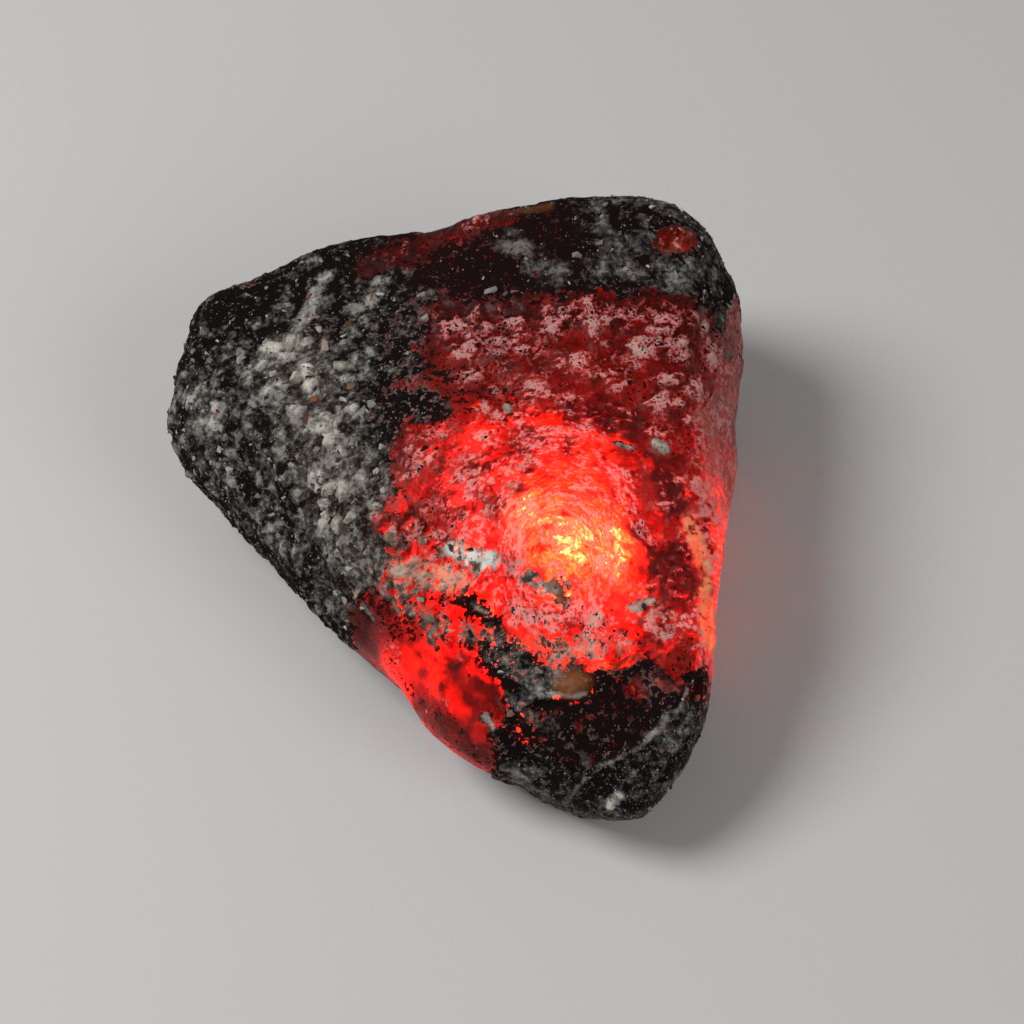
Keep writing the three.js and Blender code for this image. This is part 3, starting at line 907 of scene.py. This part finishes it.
class Graph:
    """Short ways to add and join shader nodes in one material."""

    def __init__(self, name):
        self.material = bpy.data.materials.new(name)
        self.material.use_nodes = True
        self.tree = self.material.node_tree
        self.shader = self.tree.nodes["Principled BSDF"]
        self.output = self.tree.nodes["Material Output"]
        coordinates = self.tree.nodes.new("ShaderNodeTexCoord")
        self.place = self.scaled_place(coordinates.outputs["Object"], 1.0 / MM)
        self.swirl = self.tree.nodes.new("ShaderNodeAttribute")
        self.swirl.attribute_name = "swirl"

    def put(self, value, socket):
        if isinstance(value, bpy.types.NodeSocket):
            self.tree.links.new(value, socket)
        elif isinstance(value, tuple):
            socket.default_value = (*value, 1.0)
        else:
            socket.default_value = value

    def scaled_place(self, place, factor):
        node = self.tree.nodes.new("ShaderNodeVectorMath")
        node.operation = "SCALE"
        self.put(place, node.inputs["Vector"])
        node.inputs["Scale"].default_value = factor
        return node.outputs["Vector"]

    def math(self, operation, first, second):
        node = self.tree.nodes.new("ShaderNodeMath")
        node.operation = operation
        self.put(first, node.inputs[0])
        self.put(second, node.inputs[1])
        return node.outputs["Value"]

    def total(self, first, *rest):
        for value in rest:
            first = self.math("ADD", first, value)
        return first

    def times(self, value, factor):
        return self.math("MULTIPLY", value, factor)

    def around(self, value, middle):
        """A value counted from its middle."""
        return self.math("SUBTRACT", value, middle)

    def zone(self, name):
        """One of the channels stored on the mesh."""
        node = self.tree.nodes.new("ShaderNodeAttribute")
        node.attribute_name = name
        return node.outputs["Fac"]

    def noise(self, size, detail=4.0, distortion=0.0, roughness=0.55, swirled=False):
        node = self.tree.nodes.new("ShaderNodeTexNoise")
        self.put(self.swirl.outputs["Vector"] if swirled else self.place, node.inputs["Vector"])
        node.inputs["Scale"].default_value = 1.0 / size
        node.inputs["Detail"].default_value = detail
        node.inputs["Roughness"].default_value = roughness
        node.inputs["Distortion"].default_value = distortion
        return node.outputs["Fac"]

    def ramp(self, value, low, high, to_low=0.0, to_high=1.0):
        node = self.tree.nodes.new("ShaderNodeMapRange")
        node.interpolation_type = "SMOOTHSTEP"
        self.put(value, node.inputs["Value"])
        node.inputs["From Min"].default_value = low
        node.inputs["From Max"].default_value = high
        node.inputs["To Min"].default_value = to_low
        node.inputs["To Max"].default_value = to_high
        return node.outputs["Result"]

    def blend(self, share, first, second):
        """first where share is 0, second where it is 1, for colours."""
        node = self.tree.nodes.new("ShaderNodeMix")
        node.data_type = "RGBA"
        self.put(share, node.inputs[0])
        self.put(first, node.inputs[6])
        self.put(second, node.inputs[7])
        return node.outputs[2]

    def level(self, share, first, second):
        """first where share is 0, second where it is 1, for numbers."""
        node = self.tree.nodes.new("ShaderNodeMix")
        node.data_type = "FLOAT"
        self.put(share, node.inputs[0])
        self.put(first, node.inputs[2])
        self.put(second, node.inputs[3])
        return node.outputs[0]

    def bump(self, height, distance, strength=1.0):
        node = self.tree.nodes.new("ShaderNodeBump")
        node.inputs["Strength"].default_value = strength
        node.inputs["Distance"].default_value = distance * MM
        self.put(height, node.inputs["Height"])
        return node.outputs["Normal"]


# Colours of the opaque crust and its grains, from dark to light, then its tints.
MATRIX = (0.008, 0.006, 0.006)
GREY = (0.07, 0.067, 0.062)
GRAIN = (0.27, 0.26, 0.23)
CHALK = (0.58, 0.55, 0.48)
WHITE = (0.95, 0.93, 0.85)
BROWN = (0.3, 0.1, 0.03)
MAROON = (0.022, 0.005, 0.005)
# Where each paler colour takes over in the crust, as tones.
CRUST_STEPS = ((0.3, 0.55, GREY), (0.5, 0.75, GRAIN), (0.75, 1.0, CHALK), (1.05, 1.4, WHITE))
# Colours of clear amber, by how stained it is, and of the film on it, from thin to thick. The film's
# rose and pink are painted glow: the red light from inside the amber, painted into the pale film's
# colour.
CLEAR = (1.0, 0.9, 0.8)
STAIN = (0.6, 0.04, 0.02)
DEEP = (0.06, 0.002, 0.001)
# painted glow: the thin film's deep rose stands in for red light from the amber shining through it
ROSE_PAINTED_GLOW = (0.6, 0.045, 0.04)
FROST = (0.62, 0.45, 0.42)  # on unstained amber
# painted glow: the pink of film on stained amber stands in for that amber's red light shining through
# it
PINK_PAINTED_GLOW = (0.85, 0.42, 0.4)  # on stained amber
GOLD = (0.95, 0.72, 0.3)
ABSORPTION = (0.05, 0.25, 0.32)  # per millimetre, of red, green and blue
ABSORPTION_DENSITY = 0.5
AMBER_IOR = 1.54


def crust_colour(g, zone, ripple, stain):
    """Opaque crust: pale grains in a dark matrix."""
    patches = g.around(g.noise(2.2, 2.0, distortion=0.5), 0.5)
    tone = g.total(zone["pale"], ripple, g.times(zone["chips"], 0.45), g.times(patches, 0.8))
    colour = MATRIX
    for low, high, paler in CRUST_STEPS:
        colour = g.blend(g.ramp(tone, low, high), colour, paler)
    colour = g.blend(g.times(zone["warm"], 0.8), colour, BROWN)
    return g.blend(g.math("MINIMUM", g.times(stain, 0.55), 0.7), colour, MAROON)


def film_colour(g, thick, stain, warm):
    """The pale film: rose where thin, then pink or frosted, then chalky, and gold where warm. The rose
    and pink are painted glow, the amber's red light shown as the film's colour.
    """
    frost_and_painted_glow = g.blend(g.math("MINIMUM", stain, 1.0), FROST, PINK_PAINTED_GLOW)
    colour = g.blend(g.ramp(thick, 0.6, 1.05), ROSE_PAINTED_GLOW, frost_and_painted_glow)
    colour = g.blend(g.ramp(thick, 1.2, 1.6), colour, CHALK)
    return g.blend(g.times(warm, 0.9), colour, GOLD)


def clear_colour(g, stain, medium):
    tint = g.total(stain, g.times(g.around(medium, 0.5), 2.0))
    colour = g.blend(g.ramp(tint, 0.25, 0.75), CLEAR, STAIN)
    return g.blend(g.ramp(tint, 1.1, 2.0), colour, DEEP)


def add_absorption(g):
    absorb = g.tree.nodes.new("ShaderNodeVolumeAbsorption")
    absorb.inputs["Color"].default_value = (*(1.0 - k / ABSORPTION_DENSITY for k in ABSORPTION), 1.0)
    absorb.inputs["Density"].default_value = ABSORPTION_DENSITY / MM
    g.tree.links.new(absorb.outputs["Volume"], g.output.inputs["Volume"])


def amber_material():
    """Clear amber with a broken pale film on it, and opaque crust where it isn't clear. The film's rose
    and pink colours are painted glow.
    """
    g = Graph("amber")
    zone = {name: g.zone(name) for name in (*STORED, "chips")}
    for name, top in CHANNEL_TOP.items():
        zone[name] = g.times(zone[name], top)
    zone["chips"] = g.around(zone["chips"], NEUTRAL_CHIPS)
    fine = g.noise(0.32, 4.0, roughness=0.62)
    medium = g.noise(0.9, 3.0, distortion=0.6)
    ripple = g.around(g.total(g.times(fine, 0.9), g.times(medium, 1.1)), 1.0)
    flecks = g.around(g.noise(0.36, 4.0, distortion=0.3, roughness=0.7, swirled=True), 0.5)
    grit = g.around(g.noise(0.17, 2.0, distortion=0.3, roughness=0.6, swirled=True), 0.5)
    clumps = g.around(g.noise(1.3, 2.0, distortion=0.5, swirled=True), 0.5)

    bare = g.total(zone["clear"], g.times(ripple, 0.8), g.times(flecks, -3.0), g.times(grit, -1.6))
    open_skin = g.ramp(bare, 0.42, 0.58)
    thick = g.total(zone["haze"], g.times(flecks, 3.6), g.times(grit, 2.2), g.times(clumps, 2.0))
    thick = g.total(thick, g.times(zone["chips"], 0.8))
    film = g.math("MULTIPLY", g.ramp(thick, 0.35, 0.75), g.ramp(zone["haze"], 0.0, 0.2))
    seep = g.ramp(g.total(fine, grit), 0.3, 0.7, 0.25, 1.4)
    seep = g.math("MULTIPLY", g.level(zone["thin"], 0.12, 0.6), seep)

    crust = crust_colour(g, zone, ripple, zone["stain"])
    # the film's colour carries painted glow: its rose and pink stand in for red light from within
    film_with_painted_glow = film_colour(g, thick, zone["stain"], zone["warm"])
    skin = g.blend(film, clear_colour(g, zone["stain"], medium), film_with_painted_glow)
    skin_rough = g.level(film, g.level(zone["gloss"], 0.4, 0.12), 0.9)
    skin_rough = g.math("MAXIMUM", skin_rough, g.times(zone["window"], 0.7))
    crust_rough = g.level(zone["gloss"], 0.8, 0.25)
    g.put(g.blend(open_skin, crust, skin), g.shader.inputs["Base Color"])
    g.put(g.level(open_skin, 0.0, g.level(film, 1.0, seep)), g.shader.inputs["Transmission Weight"])
    g.put(g.level(open_skin, crust_rough, skin_rough), g.shader.inputs["Roughness"])
    g.shader.inputs["IOR"].default_value = AMBER_IOR
    g.shader.inputs["Specular IOR Level"].default_value = 0.04
    g.shader.inputs["Specular Tint"].default_value = (0.35, 0.35, 0.35, 1.0)

    wrinkle = g.noise(0.4, 4.0, distortion=0.4, roughness=0.6, swirled=True)
    relief = g.total(g.math("MULTIPLY", wrinkle, zone["wrinkled"]), g.times(fine, 0.35))
    g.put(g.bump(relief, 0.22, 0.7), g.shader.inputs["Normal"])
    add_absorption(g)
    return g.material


def crumb_material():
    g = Graph("crumbs")
    tone = g.total(g.zone("tone"), g.times(g.around(g.noise(0.25, 3.0), 0.5), 0.6))
    colour = g.blend(g.ramp(tone, 0.1, 0.4), MATRIX, GREY)
    colour = g.blend(g.ramp(tone, 0.3, 0.7), colour, GRAIN)
    colour = g.blend(g.ramp(tone, 0.65, 1.1), colour, CHALK)
    g.put(g.blend(g.zone("hue"), colour, BROWN), g.shader.inputs["Base Color"])
    g.shader.inputs["Roughness"].default_value = 0.7
    g.shader.inputs["Specular IOR Level"].default_value = 0.3
    g.put(g.bump(g.noise(0.15, 3.0), 0.06), g.shader.inputs["Normal"])
    return g.material


add_camera()
add_floor()
add_lights()

lump, coat = build_lump()
lump.data.materials.append(amber_material())
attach(lump, "root")
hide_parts(NODE)

crumbs = build_crumbs(lump, coat)
crumbs.data.materials.append(crumb_material())
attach(crumbs, "root")
spangles = build_spangles(lump)
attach(spangles, "root")

bpy.context.scene.view_settings.view_transform = "Standard"
bpy.context.scene.cycles.max_bounces = 7
bpy.context.scene.cycles.transmission_bounces = 6
bpy.context.scene.cycles.sample_clamp_indirect = 60.0
